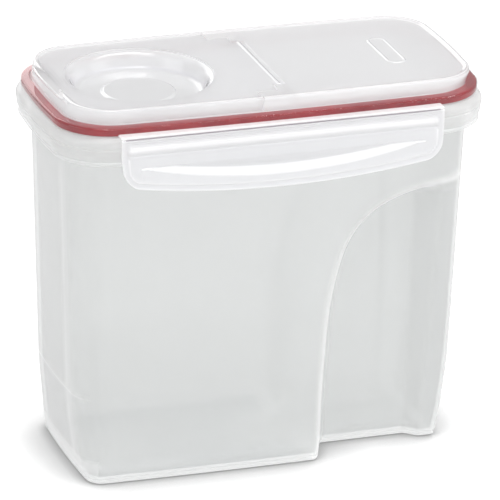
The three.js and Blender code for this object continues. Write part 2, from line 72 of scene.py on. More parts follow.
# raised platform, shared by the lid and the pour cap
FOOT, TOP = (114.3, 52.5, 25.0), (115.1, 53.3, 24.1)
PANEL_Z, BEAD_Z, PANEL_T, BEAD_W = 219.5, 220.5, 1.6, 3.3
LID_PLATFORM_Z, CAP_PLATFORM_Z, HOLLOW_Z = 211.4, 212.7, 209.0
RAIL_X, RAIL_Y = -10.0, 43.0
TONGUE_HALF = 42.6

# round well and cap hinge
WELL_X, HOLE_R = -63.0, 38.4
AXIS_X, AXIS_Z = 5.2, 217.4
HINGE_PLAY = 0.35
BARREL_R, BARREL_HALF, GROOVE_HALF = 2.4, 34.6, 35.4
GROOVE_R = BARREL_R + HINGE_PLAY
PIN_R = 1.2
PIN_BORE_R = PIN_R + HINGE_PLAY

# latches and the ledges they hang from
LATCH_X, LATCH_HALF, FACE_Y, LATCH_TOP = -1.6, 91.2, 64.8, 207.15
LATCH_CORNER, RECESS_TOP = 9.0, 191.4
LEDGE_INNER_Y, LEDGE_OUTER_Y, LEDGE_Z0, LEDGE_Z1 = 56.8, 64.4, 207.6, 208.8

# extent of the cutting blocks, clear of the parts they cut
ACROSS, CUT_TOP = (-70, 70), 222

# The newer solver where this build offers it.
SOLVERS = [i.identifier for i in
           bpy.types.BooleanModifier.bl_rna.properties["solver"].enum_items]
SOLVER = "MANIFOLD" if "MANIFOLD" in SOLVERS else "EXACT"


# ---------------------------------------------------------------- mesh helpers
def smooth(value):
    """Smoothstep from 0 to 1."""
    value = np.clip(value, 0.0, 1.0)
    return value * value * (3 - 2 * value)


def bell(value, centre, width):
    return np.exp(-((value - centre) / width) ** 2)


def even_steps(count):
    return [i / count for i in range(count)]


def circle(count):
    return np.arange(count) * 2 * math.pi / count


def build(name, verts, faces):
    """Object from millimetre points, with all faces of the closed mesh turned outwards."""
    mesh = bpy.data.meshes.new(name)
    mesh.from_pydata((np.asarray(verts, float) * MM).tolist(), [], faces)
    mesh.validate()
    mesh.update()
    ob = bpy.data.objects.new(name, mesh)
    scene.collection.objects.link(ob)
    mesh.calc_loop_triangles()
    index = np.zeros(len(mesh.loop_triangles) * 3, np.int32)
    mesh.loop_triangles.foreach_get("vertices", index)
    co = np.zeros(len(mesh.vertices) * 3, np.float32)
    mesh.vertices.foreach_get("co", co)
    tri = co.reshape(-1, 3)[index.reshape(-1, 3)].astype(float)
    # the signed volume of a closed mesh is positive when its faces look outwards
    if np.einsum("ij,ij->i", tri[:, 0], np.cross(tri[:, 1], tri[:, 2])).sum() < 0:
        mesh.flip_normals()
        mesh.update()
    return ob


def loft(name, rows, ring=False):
    """Solid through closed loops of equal length. A ring joins its last loop to its first."""
    rows = np.asarray(rows, float)
    count, n = rows.shape[:2]
    i = np.arange(n)
    k = np.arange(count if ring else count - 1)[:, None]
    here, after = k * n, (k + 1) % count * n
    quad = [here + i, here + (i + 1) % n, after + (i + 1) % n, after + i]
    faces = np.stack([corner.ravel() for corner in quad], 1).tolist()
    if not ring:
        faces.append(list(range(n - 1, -1, -1)))
        faces.append([(count - 1) * n + j for j in range(n)])
    return build(name, rows.reshape(-1, 3), faces)


def soften(points, radii, dims, seg=4, ring=False):
    """Rounds the corners of a path of n-number points. dims says which numbers measure length."""
    pts = [np.asarray(p, float) for p in points]
    last, out = len(pts) - 1, []
    for i, here in enumerate(pts):
        radius = radii[i]
        if radius <= 0 or (not ring and i in (0, last)):
            out.append(here)
            continue
        ends = []
        for other in (pts[i - 1], pts[(i + 1) % len(pts)]):
            dist = math.hypot(*[other[k] - here[k] for k in dims]) or 1e-6
            ends.append(here + (other - here) * (min(radius, 0.48 * dist) / dist))
        start, end = ends
        for k in range(seg + 1):
            u = k / seg
            out.append((1 - u) ** 2 * start + 2 * u * (1 - u) * here + u * u * end)
    return np.array(out)


def layout(arc, long, ends):
    """(side, fraction) of each point of a plan loop, starting at the front left.

    arc and ends count the steps of a corner and of a short side; long holds the
    fractions along a long side. Even sides are straight, odd ones are corners.
    """
    quarter, end = even_steps(arc), even_steps(ends)
    sides = [long, quarter, end, quarter, [1.0] + long[:0:-1], quarter, end, quarter]
    return np.repeat(np.arange(8), [len(s) for s in sides]), np.concatenate(sides)


def plan_loops(lay, stations, crown):
    """Plan loops, one row for each station. Rounded rectangles whose sides bow outwards."""
    side, fraction = lay
    half_x, half_y, radius = stations[:, 0:1], stations[:, 1:2], stations[:, 2:3]
    flat_x, flat_y = half_x - radius, half_y - radius
    x = np.zeros((len(stations), len(side)))
    y = np.zeros_like(x)
    for s in range(8):
        on = side == s
        f = fraction[on][None, :]
        sin = radius * np.sin(f * math.pi / 2)
        cos = radius * np.cos(f * math.pi / 2)
        if s in (0, 4):
            x[:, on] = along = -flat_x + 2 * flat_x * f
            bow = crown[0] * (1 - (along / flat_x) ** 2)
            y[:, on] = (half_y + bow) * (-1 if s == 0 else 1)
        elif s in (2, 6):
            way = 1 if s == 2 else -1
            y[:, on] = along = (-flat_y + 2 * flat_y * f) * way
            x[:, on] = (half_x + crown[1] * (1 - (along / flat_y) ** 2)) * way
        elif s == 1:
            x[:, on], y[:, on] = flat_x + sin, -flat_y - cos
        elif s == 3:
            x[:, on], y[:, on] = flat_x + cos, flat_y + sin
        elif s == 5:
            x[:, on], y[:, on] = -flat_x - sin, flat_y + cos
        else:
            x[:, on], y[:, on] = -flat_x - cos, -flat_y - sin
    return x, y


def swept(name, lay, path, seg=4, ring=False, bend=None, crown=CROWN, centre=(0, 0)):
    """Solid through plan loops. path holds pairs of a station and its rounding.

    A station is (half length, half width, corner radius, z), and any further
    number is there for bend, which may move the points.
    """
    stations, radii = zip(*path)
    stations = soften(stations, radii, (0, 3), seg, ring)
    x, y = plan_loops(lay, stations, crown)
    z = np.repeat(stations[:, 3:4], x.shape[1], 1)
    if bend is not None:
        x, y, z = bend(x, y, z, stations)
    return loft(name, np.stack([x + centre[0], y + centre[1], z], -1), ring)


def turned(name, profile, count=168, ring=False):
    """Round solid about the axis of the well. profile holds (radius, z, rounding)."""
    table = np.array(profile, float)
    points = soften(table[:, :2], table[:, 2], (0, 1), 4, ring)
    radius, z = points[:, 0:1], points[:, 1:2]
    angle = circle(count)
    rows = np.stack([WELL_X + radius * np.cos(angle), radius * np.sin(angle),
                     np.repeat(z, count, 1)], -1)
    return loft(name, rows, ring)


def bar_y(radius, y0, y1, count, edge=0.0):
    """Round bar on the hinge axis, with its ends bevelled by edge."""
    profile = [(radius, y0), (radius, y1)]
    if edge:
        profile = [(radius - edge, y0), (radius, y0 + edge),
                   (radius, y1 - edge), (radius - edge, y1)]
    return loft("bar", [[(AXIS_X + r * math.cos(angle), y, AXIS_Z + r * math.sin(angle))
                         for angle in circle(count)] for r, y in profile])


def end_bars(radius, inner_y, outer_y, count, edge=0.0):
    """The same bar at each end of the hinge, one after the other."""
    for s in (-1, 1):
        y0, y1 = sorted((s * inner_y, s * outer_y))
        yield bar_y(radius, y0, y1, count, edge)


def prism_y(section, y0, y1):
    """Prism along Y from an (x, z) section."""
    return loft("prism", [[(x, y, z) for x, z in section] for y in (y0, y1)])


def block(x_span, y_span, z_span):
    verts = [(x, y, z) for x in x_span for y in y_span for z in z_span]
    faces = [(0, 1, 3, 2), (4, 6, 7, 5), (0, 4, 5, 1), (2, 3, 7, 6), (0, 2, 6, 4), (1, 5, 7, 3)]
    return build("block", verts, faces)


def mirror_y(ob, name):
    mesh = ob.data.copy()
    mesh.transform(Matrix.Scale(-1, 4, Vector((0, 1, 0))))
    mesh.flip_normals()
    mesh.update()
    new = bpy.data.objects.new(name, mesh)
    scene.collection.objects.link(new)
    return new


def combine(target, tool, operation):
    """Applies a boolean to target and removes tool."""
    modifier = target.modifiers.new("cut", "BOOLEAN")
    modifier.operation = operation
    modifier.object = tool
    modifier.solver = SOLVER
    graph = bpy.context.evaluated_depsgraph_get()
    mesh = bpy.data.meshes.new_from_object(target.evaluated_get(graph), depsgraph=graph)
    target.modifiers.clear()
    old, target.data = target.data, mesh
    bpy.data.meshes.remove(old)
    tool_mesh = tool.data
    bpy.data.objects.remove(tool)
    bpy.data.meshes.remove(tool_mesh)
    return target


def add(target, tool):
    return combine(target, tool, "UNION")


def cut(target, tool):
    return combine(target, tool, "DIFFERENCE")


def keep(target, tool):
    return combine(target, tool, "INTERSECT")


def set_field(ob, name, values, domain="POINT"):
    field = ob.data.attributes.new(name, "FLOAT", domain)
    field.data.foreach_set("value", np.clip(values.astype(np.float32), 0, 1))


# ---------------------------------------------------------------- container
# Outline of the grip's step seen from the side, (x, z) from the bottom up
GRIP_EDGE = np.array([
    [26.5, -5], [27.9, 10.3], [28.4, 38.4], [29.4, 62], [31.0, 88], [34.2, 108],
    [39.2, 125.5], [47.0, 139.0], [57.5, 148.5], [72.0, 155.3], [88.0, 159.2],
    [108, 161.2], [140, 162]])

# Down-turned collar and mouth, from the neck outwards, down, and up to the mouth:
# half length, half width, corner radius, z, rounding
COLLAR = [
    (119.0, 56.8, 28.6, 204.6, 1.2),
    (120.7, 58.5, 29.8, 199.5, 1.5),
    (118.4, 56.5, 28.4, COLLAR_Z, 0.6),
    (120.4, 58.2, 29.8, COLLAR_Z, 0.5),
    (121.1, 58.9, 30.2, 191.3, 0.4),
    (121.1, 58.9, 30.2, 192.3, 0.4),
    (120.3, 58.1, 29.8, 193.0, 0.35),
    (120.9, 58.7, 30.2, 194.4, 0.7),
    (121.9, 59.5, 30.7, 196.8, 1.0),
    (122.15, 59.75, 30.9, 199.9, 0.5),
    (121.8, 59.4, 30.7, 200.5, 0.3),
    (122.5, 60.1, 31.1, 201.2, 0.6),
    (122.2, 59.8, 31.0, 203.9, 1.2),
    (119.9, 57.6, 29.8, MOUTH_Z, 0.8),
    (112.1, 47.5, 18.6, MOUTH_Z, 1.2),
]


def fine_curve(points, steps=13):
    """Catmull-Rom through the points, with so many steps to a span."""
    padded = np.vstack([2 * points[0] - points[1], points, 2 * points[-1] - points[-2]])
    out = []
    for before, start, end, after in zip(padded, padded[1:], padded[2:], padded[3:]):
        for k in range(steps):
            t = k / steps
            out.append(0.5 * ((2 * start) + (end - before) * t
                              + (2 * before - 5 * start + 4 * end - after) * t * t
                              + (3 * start - before - 3 * end + after) * t ** 3))
    out.append(points[-1])
    return np.array(out)


GRIP_LINE = fine_curve(GRIP_EDGE)


def grip_depth(x, z):
    """Signed distance to the grip's outline, positive on the grip side."""
    points = np.stack([x, z], 1)
    best = np.full(len(points), 1e9)
    sign = np.ones(len(points))
    for start, step in zip(GRIP_LINE[:-1], np.diff(GRIP_LINE, axis=0)):
        t = np.clip(((points - start) @ step) / (step ** 2).sum(), 0, 1)
        gap = points - (start + t[:, None] * step)
        dist = np.hypot(gap[:, 0], gap[:, 1])
        near = dist < best
        best[near] = dist[near]
        turn = step[0] * gap[:, 1] - step[1] * gap[:, 0]
        sign[near] = np.where(turn[near] < 0, 1, -1)
    return sign * best


def body_outline(z):
    """Outer wall at height z: it widens upwards and draws in faster below the crease."""
    z = np.asarray(z, float)
    low = np.clip(1 - z / CREASE_Z, 0, None)
    half_x = 108.4 + 0.0367 * (z - 40) - 0.030 * np.clip(CREASE_Z - z, 0, None) - 3.1 * low ** 2
    half_y = 45.4 + 0.0185 * z
    corner = np.where(z < 40, 9 + 8 * np.sin(np.clip(z, 0, 40) / 40 * math.pi / 2),
                      17 + 3 * (z - 40) / 150)
    return half_x, half_y, corner


def wall_ring(z, inset=0.0, like=None, corner_cut=None, least=1.0):
    """Station inset from the outer wall. like is the height whose outline it takes."""
    half_x, half_y, corner = body_outline(z if like is None else like)
    if corner_cut is None:
        corner_cut = 0.8 * inset
    corner = max(least, float(corner) - corner_cut)
    return (float(half_x) - inset, float(half_y) - inset, corner, float(z), inset)


def press_grip(x, y, z, stations):
    """Presses both sides inwards beyond the grip's outline."""
    inset = stations[:, 4:5]
    full = stations[:, 1:2] + inset + CROWN[0]
    active = (z < GRIP_TOP_Z) & (x > 18)
    depth = np.full(x.shape, -99.0)
    depth[active] = grip_depth(x[active], z[active])
    reach = depth + inset * 0.6
    # a tight rounded edge, then a softer foot
    press = smooth(np.clip(reach / 12.0, 0, 1) ** 0.92)
    rise = np.clip(z, 0, None) / 160
    floor_y = (25.6 + 4.9 * rise + (6 + 7 * rise) * smooth((x - 86) / (9 + 6 * rise)) - inset)
    limit = full - (full - floor_y) * press
    # smooth minimum of the wall and the grip surface
    blend = 4.2
    side = np.abs(y)
    gap = limit - side
    share = np.clip(0.5 + 0.5 * gap / blend, 0, 1)
    pressed = limit * (1 - share) + side * share - blend * share * (1 - share) * 0.5
    # the rounding fades in from the outline so that the plain wall stays where it is
    margin = 1.2
    pressed = side + (pressed - side) * smooth((reach + margin) / (2 * margin))
    use = active & (reach > -margin) & (gap < blend)
    return x, np.where(use, np.sign(y) * pressed, y), z


def container_path():
    # underside: recessed panel, step and foot ring (inset, z, rounding)
    path = [(wall_ring(z, inset, like=0, least=1.6), rounding) for inset, z, rounding in
            ((11.0, 1.25, 0), (7.6, 1.25, 0.5), (6.8, 0.0, 0.5), (1.5, 0.0, 0.9))]
    # fine groove round the foot (z, inset, rounding)
    path += [(wall_ring(z, inset), rounding) for z, inset, rounding in
             ((1.5, 0, 0.9), (2.1, 0, 0.3), (2.5, 0.32, 0.3), (3.1, 0.32, 0.3), (3.6, 0, 0.4))]
    outer = np.concatenate([
        np.arange(5.2, 48, 2.2), [CREASE_Z - 0.8, CREASE_Z, CREASE_Z + 0.8],
        np.arange(53, 104, 3.0), np.arange(105, 173, 0.9), [176, 182, 188, 194, 199]])
    path += [(wall_ring(z), 0) for z in outer]
    path.append((wall_ring(204.6, like=200), 1.6))
    path += [((*station, 0.0), rounding) for *station, rounding in COLLAR]
    inner = np.concatenate([
        [200, 194, 188, 182, 177], np.arange(173, 104, -1.7), np.arange(103, 52, -4.0),
        np.arange(51, 9, -3.4), [8.2]])
    path += [(wall_ring(z, WALL), 0) for z in inner]
    # rounded into the floor
    path.append((wall_ring(FLOOR_TOP, WALL, like=4), 4.6))
    path.append((wall_ring(FLOOR_TOP, 9, like=4, corner_cut=6), 0))
    path.append((wall_ring(FLOOR_TOP - 0.02, 24, like=4, corner_cut=6), 0))
    return path


def container():
    # columns along a long side, close together across the grip's step
    reach = 94.0
    columns = np.concatenate([
        np.linspace(-reach, 21, 22)[:-1], np.arange(21, 43, 0.55), np.arange(43, 62, 1.0),
        np.linspace(62, reach, 22)[:-1]])
    lay = layout(16, ((columns + reach) / (2 * reach)).tolist(), 10)
    ob = swept("container_shell", lay, container_path(), bend=press_grip)
    mark_container(ob)
    return ob


def mark_container(ob):
    """Fields for the shader: painted highlights, and painted shade on the inner floor."""
    co = np.zeros(len(ob.data.vertices) * 3, np.float32)
    ob.data.vertices.foreach_get("co", co)
    x, y, z = (co.reshape(-1, 3).astype(float) / MM).T
    side = np.abs(y)
    pour_end = x < -100
    # painted highlight along the outline of the grip
    glow = np.zeros(len(x))
    near = (x > 14) & (z < GRIP_TOP_Z) & (side > 18)
    glow[near] = bell(grip_depth(x[near], z[near]), 1.6, 2.1) * smooth((118 - x[near]) / 10)
    # painted highlight along a crease across the pour end, and on an upright band on each side of
    # that end
    crease = 0.7 * bell(z, CREASE_Z, 0.9) * pour_end * smooth((44 - side) / 6)
    upright = (0.55 * bell(side, 25.0, 3.6) * pour_end
               * smooth((190 - z) / 20) * smooth((z - 6) / 10))
    # painted highlight on the fillet round the floor
    fillet = (z > 3.4) & (z < 12) & (side < body_outline(8)[1] - 1.0) & (x < 22)
    fillet = 0.7 * fillet * smooth((z - 4.0) / 2.5)
    # painted highlight on the collar
    collar = 0.55 * smooth((z - 190.4) / 0.6) * ((side > 40) | (np.abs(x) > 112))
    for part in (crease, upright, fillet, collar):
        glow = np.maximum(glow, part)
    set_field(ob, "glow", glow)
    # painted shade on the inner floor along the long walls, marked deep
    set_field(ob, "deep", (z > 3.0) & (z < 3.4) & (side > 20) & (x < 22))


# ---------------------------------------------------------------- lid
LID_LAY = layout(22, even_steps(44), 14)


def rim(inset, z):
    return (RIM[0] - inset, RIM[1] - inset, RIM[2] - 0.7 * inset, z)


def inset_ring(outline, inset, z):
    half_x, half_y, corner = outline
    return (half_x - inset, half_y - inset, max(2.0, corner - inset), z)


def outline_solid(name, table, seg=4, bend=None):
    """Solid from rows of outline, inset, z and rounding."""
    path = [(inset_ring(outline, inset, z), rounding) for outline, inset, z, rounding in table]
    return swept(name, LID_LAY, path, seg, bend=bend)


def platform(bottom, bend=None):
    """Outside of the raised platform."""
    return outline_solid("platform", [
        (FOOT, 0, bottom, 0), (FOOT, 0, 212.9, 0.6), (TOP, 0, 219.0, 0.8),
        (TOP, 0.45, 220.15, 0.5), (TOP, 1.5, BEAD_Z, 0)], bend=bend)


def hollow(bend=None):
    """Space under the platform."""
    return outline_solid("hollow", [
        (FOOT, PANEL_T, HOLLOW_Z, 0), (FOOT, PANEL_T, 212.4, 0.6),
        (TOP, PANEL_T, PANEL_Z - PANEL_T - 1.4, 1.0),
        (TOP, PANEL_T + 1.6, PANEL_Z - PANEL_T, 0)], bend=bend)


def recess(bend=None):
    """Sunken field inside the platform's bead."""
    return outline_solid("recess", [
        (TOP, BEAD_W + 0.7, PANEL_Z, 0), (TOP, BEAD_W + 0.35, PANEL_Z + 0.08, 0.2),
        (TOP, BEAD_W - 0.1, PANEL_Z + 0.42, 0.3), (TOP, BEAD_W - 0.9, PANEL_Z + 0.95, 0.3),
        (TOP, BEAD_W - 1.6, BEAD_Z + 0.06, 0.3), (TOP, BEAD_W - 1.6, PANEL_Z + 4, 0)],
        seg=3, bend=bend)


def lid_shell():
    """Rim, gasket channel and skirt, as a closed section run round the lid."""
    path = [
        (rim(0, RIM_Z0), 0.25), (rim(0, RIM_Z1), 0.7), (rim(0.9, 212.0), 0.7),
        (rim(4.5, LAND_Z), 0.5), (inset_ring(SKIRT_INNER, 0, LAND_Z), 0.3),
        (inset_ring(SKIRT_INNER, 0, SKIRT_Z), 0.5), (inset_ring(SKIRT_OUTER, 0, SKIRT_Z), 0.5),
        (inset_ring(SKIRT_OUTER, 0, DECK_Z0), 0.6), (rim(8.5, DECK_Z0), 0.4),
        (rim(8.5, 207.6), 0.4), (rim(7.2, 207.6), 0.4), (rim(7.2, 211.7), 0.5),
        (rim(0.65, 211.7), 0.5), (rim(0.65, RIM_Z0), 0.25)]
    return swept("lid_shell", LID_LAY, path, ring=True)


def add_deck(body):
    """Deck at the pour end with the collared hole of the well."""
    deck = swept("deck", LID_LAY, [((*DECK, DECK_Z0), 0), ((*DECK, LAND_Z), 0)])
    deck = keep(deck, block((-130, 9.9), ACROSS, (205, 214)))
    body = add(body, deck)
    body = add(body, turned("collar", [
        (HOLE_R + 1.0, 206.5, 0), (HOLE_R + 1.8, 207.1, 0.4),
        (HOLE_R + 1.8, LAND_Z - 0.1, 0)], 144))
    return cut(body, turned("hole", [
        (HOLE_R + 0.5, 204, 0), (HOLE_R + 0.5, 206.7, 0.4), (HOLE_R, 207.3, 0.4),
        (HOLE_R, 211.6, 0.4), (HOLE_R + 0.7, 212.5, 0.4), (HOLE_R + 0.7, 216, 0)], 144))


def cut_hinge_groove(top):
    groove_y = (-GROOVE_HALF, GROOVE_HALF)
    top = cut(top, bar_y(GROOVE_R, *groove_y, 56))
    top = cut(top, block((0, AXIS_X), groove_y, (AXIS_Z - GROOVE_R, CUT_TOP)))
    # opening above the axis, widening upwards on the grip side
    return cut(top, prism_y([
        (AXIS_X - 1, AXIS_Z + 0.2), (AXIS_X + 2.6, AXIS_Z + 0.2), (AXIS_X + 2.9, AXIS_Z + 0.9),
        (AXIS_X + 3.3, PANEL_Z - 0.3), (AXIS_X + 3.7, PANEL_Z + 0.3), (AXIS_X + 3.7, 223),
        (AXIS_X - 1, 223)], *groove_y))


def plaque():
    """Blank oval plaque: a raised border round a flat field."""
    # half length, half width, corner radius, z, rounding
    table = [
        (5.6, 20.4, 5.3, PANEL_Z - 0.8, 0), (5.6, 20.4, 5.3, PANEL_Z, 0.1),
        (5.1, 19.9, 4.8, PANEL_Z + 0.5, 0.25), (4.4, 19.2, 4.1, PANEL_Z + 0.5, 0.25),
        (4.0, 18.8, 3.7, PANEL_Z + 0.16, 0.2), (2.0, 16.8, 1.7, PANEL_Z + 0.16, 0)]
    path = [(station, rounding) for *station, rounding in table]
    return swept("plaque", layout(10, even_steps(6), 24), path, seg=3,
                 crown=(0, 0), centre=(79.0, 0.0))


def raised_top():
    """Fixed half of the platform, with side rails and the cap's hinge groove."""
    height = (LID_PLATFORM_Z, CUT_TOP)
    solid = platform(LID_PLATFORM_Z)
    top = cut(platform(LID_PLATFORM_Z), hollow())
    # solid across the hinge
    top = add(top, keep(solid, block((-20, 10), ACROSS, height)))
    region = block((2.0, 130), ACROSS, height)
    region = add(region, block((RAIL_X, 20), (RAIL_Y, 70), height))
    region = add(region, block((RAIL_X, 20), (-70, -RAIL_Y), height))
    top = cut(keep(top, region), recess())
    top = cut_hinge_groove(top)
    for pin in end_bars(PIN_R, BARREL_HALF - 2.4, GROOVE_HALF + 1, 32, 0.2):
        top = add(top, pin)
    return add(top, plaque())


def add_ledges(body):
    """Ledge along the outside of each long side."""
    lay = layout(6, even_steps(40), 4)
    half_y = (LEDGE_OUTER_Y - LEDGE_INNER_Y) / 2
    # inset, corner radius, z, rounding
    table = [(0.3, 0.9, LEDGE_Z0, 0), (0, 1.2, LEDGE_Z0 + 0.3, 0.2),
             (0, 1.2, LEDGE_Z1 - 0.35, 0.3), (0.4, 0.9, LEDGE_Z1, 0)]
    path = [((LATCH_HALF - inset, half_y - inset, corner, z), rounding)
            for inset, corner, z, rounding in table]
    for s in (-1, 1):
        centre = (LATCH_X, (LEDGE_INNER_Y + LEDGE_OUTER_Y) / 2 * s)
        ledge = swept("ledge", lay, path, seg=3, crown=(0, 0), centre=centre)
        inner = swept("inner", LID_LAY, [(rim(0.5, 200), 0), (rim(0.5, 215), 0)])
        body = add(body, cut(ledge, inner))
    return body


def lid():
    body = add_deck(lid_shell())
    body = add(body, raised_top())
    body = add_ledges(body)
    mark_clear(body)
    mark_bead(body)
    return body


def rim_inset(x, y):
    """Distance inwards from the rim's outline."""
    x, y = np.abs(x), np.abs(y)
    half_x, half_y, radius = RIM
    flat_x, flat_y = half_x - radius, half_y - radius
    long = half_y + CROWN[0] * (1 - np.clip(x / flat_x, 0, 1) ** 2) - y
    short = half_x + CROWN[1] * (1 - np.clip(y / flat_y, 0, 1) ** 2) - x
    corner = radius - np.hypot(np.clip(x - flat_x, 0, None), np.clip(y - flat_y, 0, None))
    return np.where((x > flat_x) & (y > flat_y), corner, np.minimum(long, short))


def inset_and_height(ob):
    """Distance inside the rim's outline and height, for the centre of each face."""
    centres = np.zeros(len(ob.data.polygons) * 3, np.float32)
    ob.data.polygons.foreach_get("center", centres)
    centres = centres.reshape(-1, 3) / MM
    return rim_inset(centres[:, 0], centres[:, 1]), centres[:, 2]


def mark_clear(ob):
    """The outer ring of the lid is glass clear, the rest is milky."""
    inset, z = inset_and_height(ob)
    clear = (inset > -0.03) & (inset < 7.3) & (z > 206.9) & (z < 212.34)
    set_field(ob, "clearness", clear, "FACE")


def mark_bead(ob):
    """Painted highlight on the raised bead round the top and on the ledges."""
    inset, z = inset_and_height(ob)
    ledge = np.where((inset < -0.03) & (z > 207.3), 1.0, 0.0)
    bead = np.where((z > 220.2) & (z < 221.0) & (inset < 9.5), 0.7, 0.0)
    set_field(ob, "glow", np.maximum(ledge, bead), "FACE")


# ---------------------------------------------------------------- seals
def gasket():
    """Ring in the rim's channel with two lips below."""
    path = [(rim(inset, z), rounding) for inset, z, rounding in (
        (0.8, 207.5, 0.5), (0.8, 211.5, 0.5), (6.95, 211.5, 0.5), (6.95, 207.8, 0.5),
        (5.6, 207.1, 0.7), (4.2, 207.9, 0.7), (2.6, 207.1, 0.7))]
    return swept("gasket_ring", LID_LAY, path, ring=True)


def cap_seal():
    return turned("cap_seal_ring", [
        (36.0, 209.6, 0.1), (36.9, 209.5, 0.3), (38.05, 210.0, 0.25), (38.05, 210.6, 0.25),
        (36.9, 211.1, 0.3), (36.0, 211.0, 0.1)], ring=True)


# ---------------------------------------------------------------- pour cap
def cap_lean(x, y, z, _stations):
    """Draws the pour end's wall inwards towards the top."""
    lean = 2.0 * smooth((-x - 70) / 42) * smooth((z - 212) / 7)
    return x + np.where(x < -70, lean, 0), y, z


def thumb_lip():
    """Lip at the pour end that curls up in the middle and dies out at its ends."""
    steps, half_y = 44, 31.0
    rows = []
    for k in range(steps + 1):
        y = -half_y + 2 * half_y * k / steps
        out = abs(y) / half_y
        lift = 3.7 * (1 - out * out) ** 1.2
        tip = -116.0 - 2.6 * (1 - out * out) + 2.2 * out * out
        # x, z, rounding
        section = [
            (-103.5, 218.4, 0), (-103.5, PANEL_Z, 0), (-105.8, PANEL_Z + 0.04 * lift, 0.5),
            (-108.4, PANEL_Z + 0.17 * lift, 0.6), (-110.8, PANEL_Z + 0.36 * lift, 0.6),
            (-113.0, PANEL_Z + 0.6 * lift, 0.6), (tip + 1.6, PANEL_Z + 0.9 * lift, 0.5),
            (tip + 0.6, PANEL_Z + lift, 0.4), (tip, 219.1 + lift, 0.4),
            (tip + 0.3, 218.3 + 0.8 * lift, 0.6), (tip + 1.8, 217.9 + 0.45 * lift, 0.8),
            (-112.6, 217.4, 0.8), (-108.0, 217.9, 0.6)]
        points = soften([p[:2] for p in section], [p[2] for p in section], (0, 1), 2, ring=True)
        rows.append([(x, y, z) for x, z in points])
    return loft("lip", rows)


def cup_with_hole(cap):
    """Round cup that plugs the well, let into the cap's panel."""
    # radius, z, rounding
    cup = turned("cup", [
        (33.4, 208.1, 0), (35.6, 208.1, 0.8), (36.3, 208.9, 0.5), (37.0, 210.6, 0.6),
        (37.5, 212.6, 1.0), (38.7, 215.6, 1.0), (40.3, 217.9, 1.0), (42.3, PANEL_Z - 0.6, 0)])
    inside = turned("inside", [
        (17.0, 210.5, 0), (19.2, 210.5, 0.5), (20.4, 209.7, 0.5), (33.2, 209.7, 1.2),
        (35.2, 210.7, 1.2), (36.1, 213.2, 1.2), (37.3, 216.2, 1.4), (39.2, 218.6, 1.6),
        (42.2, PANEL_Z + 0.02, 0), (42.2, PANEL_Z + 2, 0)])
    hole = turned("hole", [(41.2, 216.5, 0), (41.2, CUT_TOP, 0)])
    cup = cut(cup, inside)
    cap = add(cut(cap, hole), cup)
    # groove for the seal
    return cut(cap, turned("groove", [
        (35.7, 209.25, 0.1), (38.9, 209.25, 0), (38.9, 211.35, 0), (35.7, 211.35, 0.1)],
        ring=True))


def add_barrel(cap):
    """Hinge barrel with its web and the bores for the lid's pins."""
    span = (-BARREL_HALF, BARREL_HALF)
    cap = add(cap, block((-2, AXIS_X), span, (PANEL_Z - PANEL_T, PANEL_Z)))
    cap = add(cap, bar_y(BARREL_R, *span, 56, 0.25))
    for bore in end_bars(PIN_BORE_R, BARREL_HALF - 2.8, BARREL_HALF + 1, 36):
        cap = cut(cap, bore)
    return cap


def pour_cap():
    height = (CAP_PLATFORM_Z, CUT_TOP)
    cap = platform(CAP_PLATFORM_Z, cap_lean)
    cap.name = "cap_shell"
    cap = cut(cap, hollow(cap_lean))
    region = block((-130, -10.8), ACROSS, height)
    region = add(region, block((-20, 1.0), (-TONGUE_HALF, TONGUE_HALF), height))
    cap = keep(cap, region)
    cap = cut(cap, recess(cap_lean))
    cap = add(cap, thumb_lip())
    cap = add_barrel(cup_with_hole(cap))
    mark_bead(cap)
    return cap


# ---------------------------------------------------------------- latches
# In this section u is the distance along X from the middle of the latch.
def latch_bottom(u):
    """Lower edge, rising towards the ends, before its corners are rounded."""
    return 172.5 + 3.9 * (u / 65) ** 2


def rounded_bottom(u):
    into = np.clip(LATCH_HALF - np.abs(u), 0, LATCH_CORNER)
    rise = np.sqrt(np.clip(LATCH_CORNER ** 2 - (LATCH_CORNER - into) ** 2, 0, None))
    return latch_bottom(u) + LATCH_CORNER - rise


def outline_distance(u, z):
    """Distance inwards from the ends and the rounded lower edge."""
    side = LATCH_HALF - np.abs(u)
    low = z - latch_bottom(u)
    corner = LATCH_CORNER - np.hypot(np.clip(LATCH_CORNER - side, 0, None),
                                     np.clip(LATCH_CORNER - low, 0, None))
    in_corner = (side < LATCH_CORNER) & (low < LATCH_CORNER)
    return np.where(in_corner, corner, np.minimum(side, low))


def recess_lines(u):
    """Fullness of the finger recess, and the heights of its deepest line and its foot."""
    full = np.clip(1 - (u / 81) ** 2, 0, None)
    deepest = RECESS_TOP - np.maximum(0.7, 5.8 * np.clip(1 - (u / 65) ** 2, 0, None))
    foot = np.minimum(RECESS_TOP - 11.5 * full ** 0.9, deepest - 0.8)
    return full, deepest, foot


def edge_round(distance, radius):
    """Drop of a surface that is rounded by radius towards its edge."""
    k = np.clip(1 - distance / radius, 0, 1)
    return radius * (1 - np.sqrt(1 - k * k))


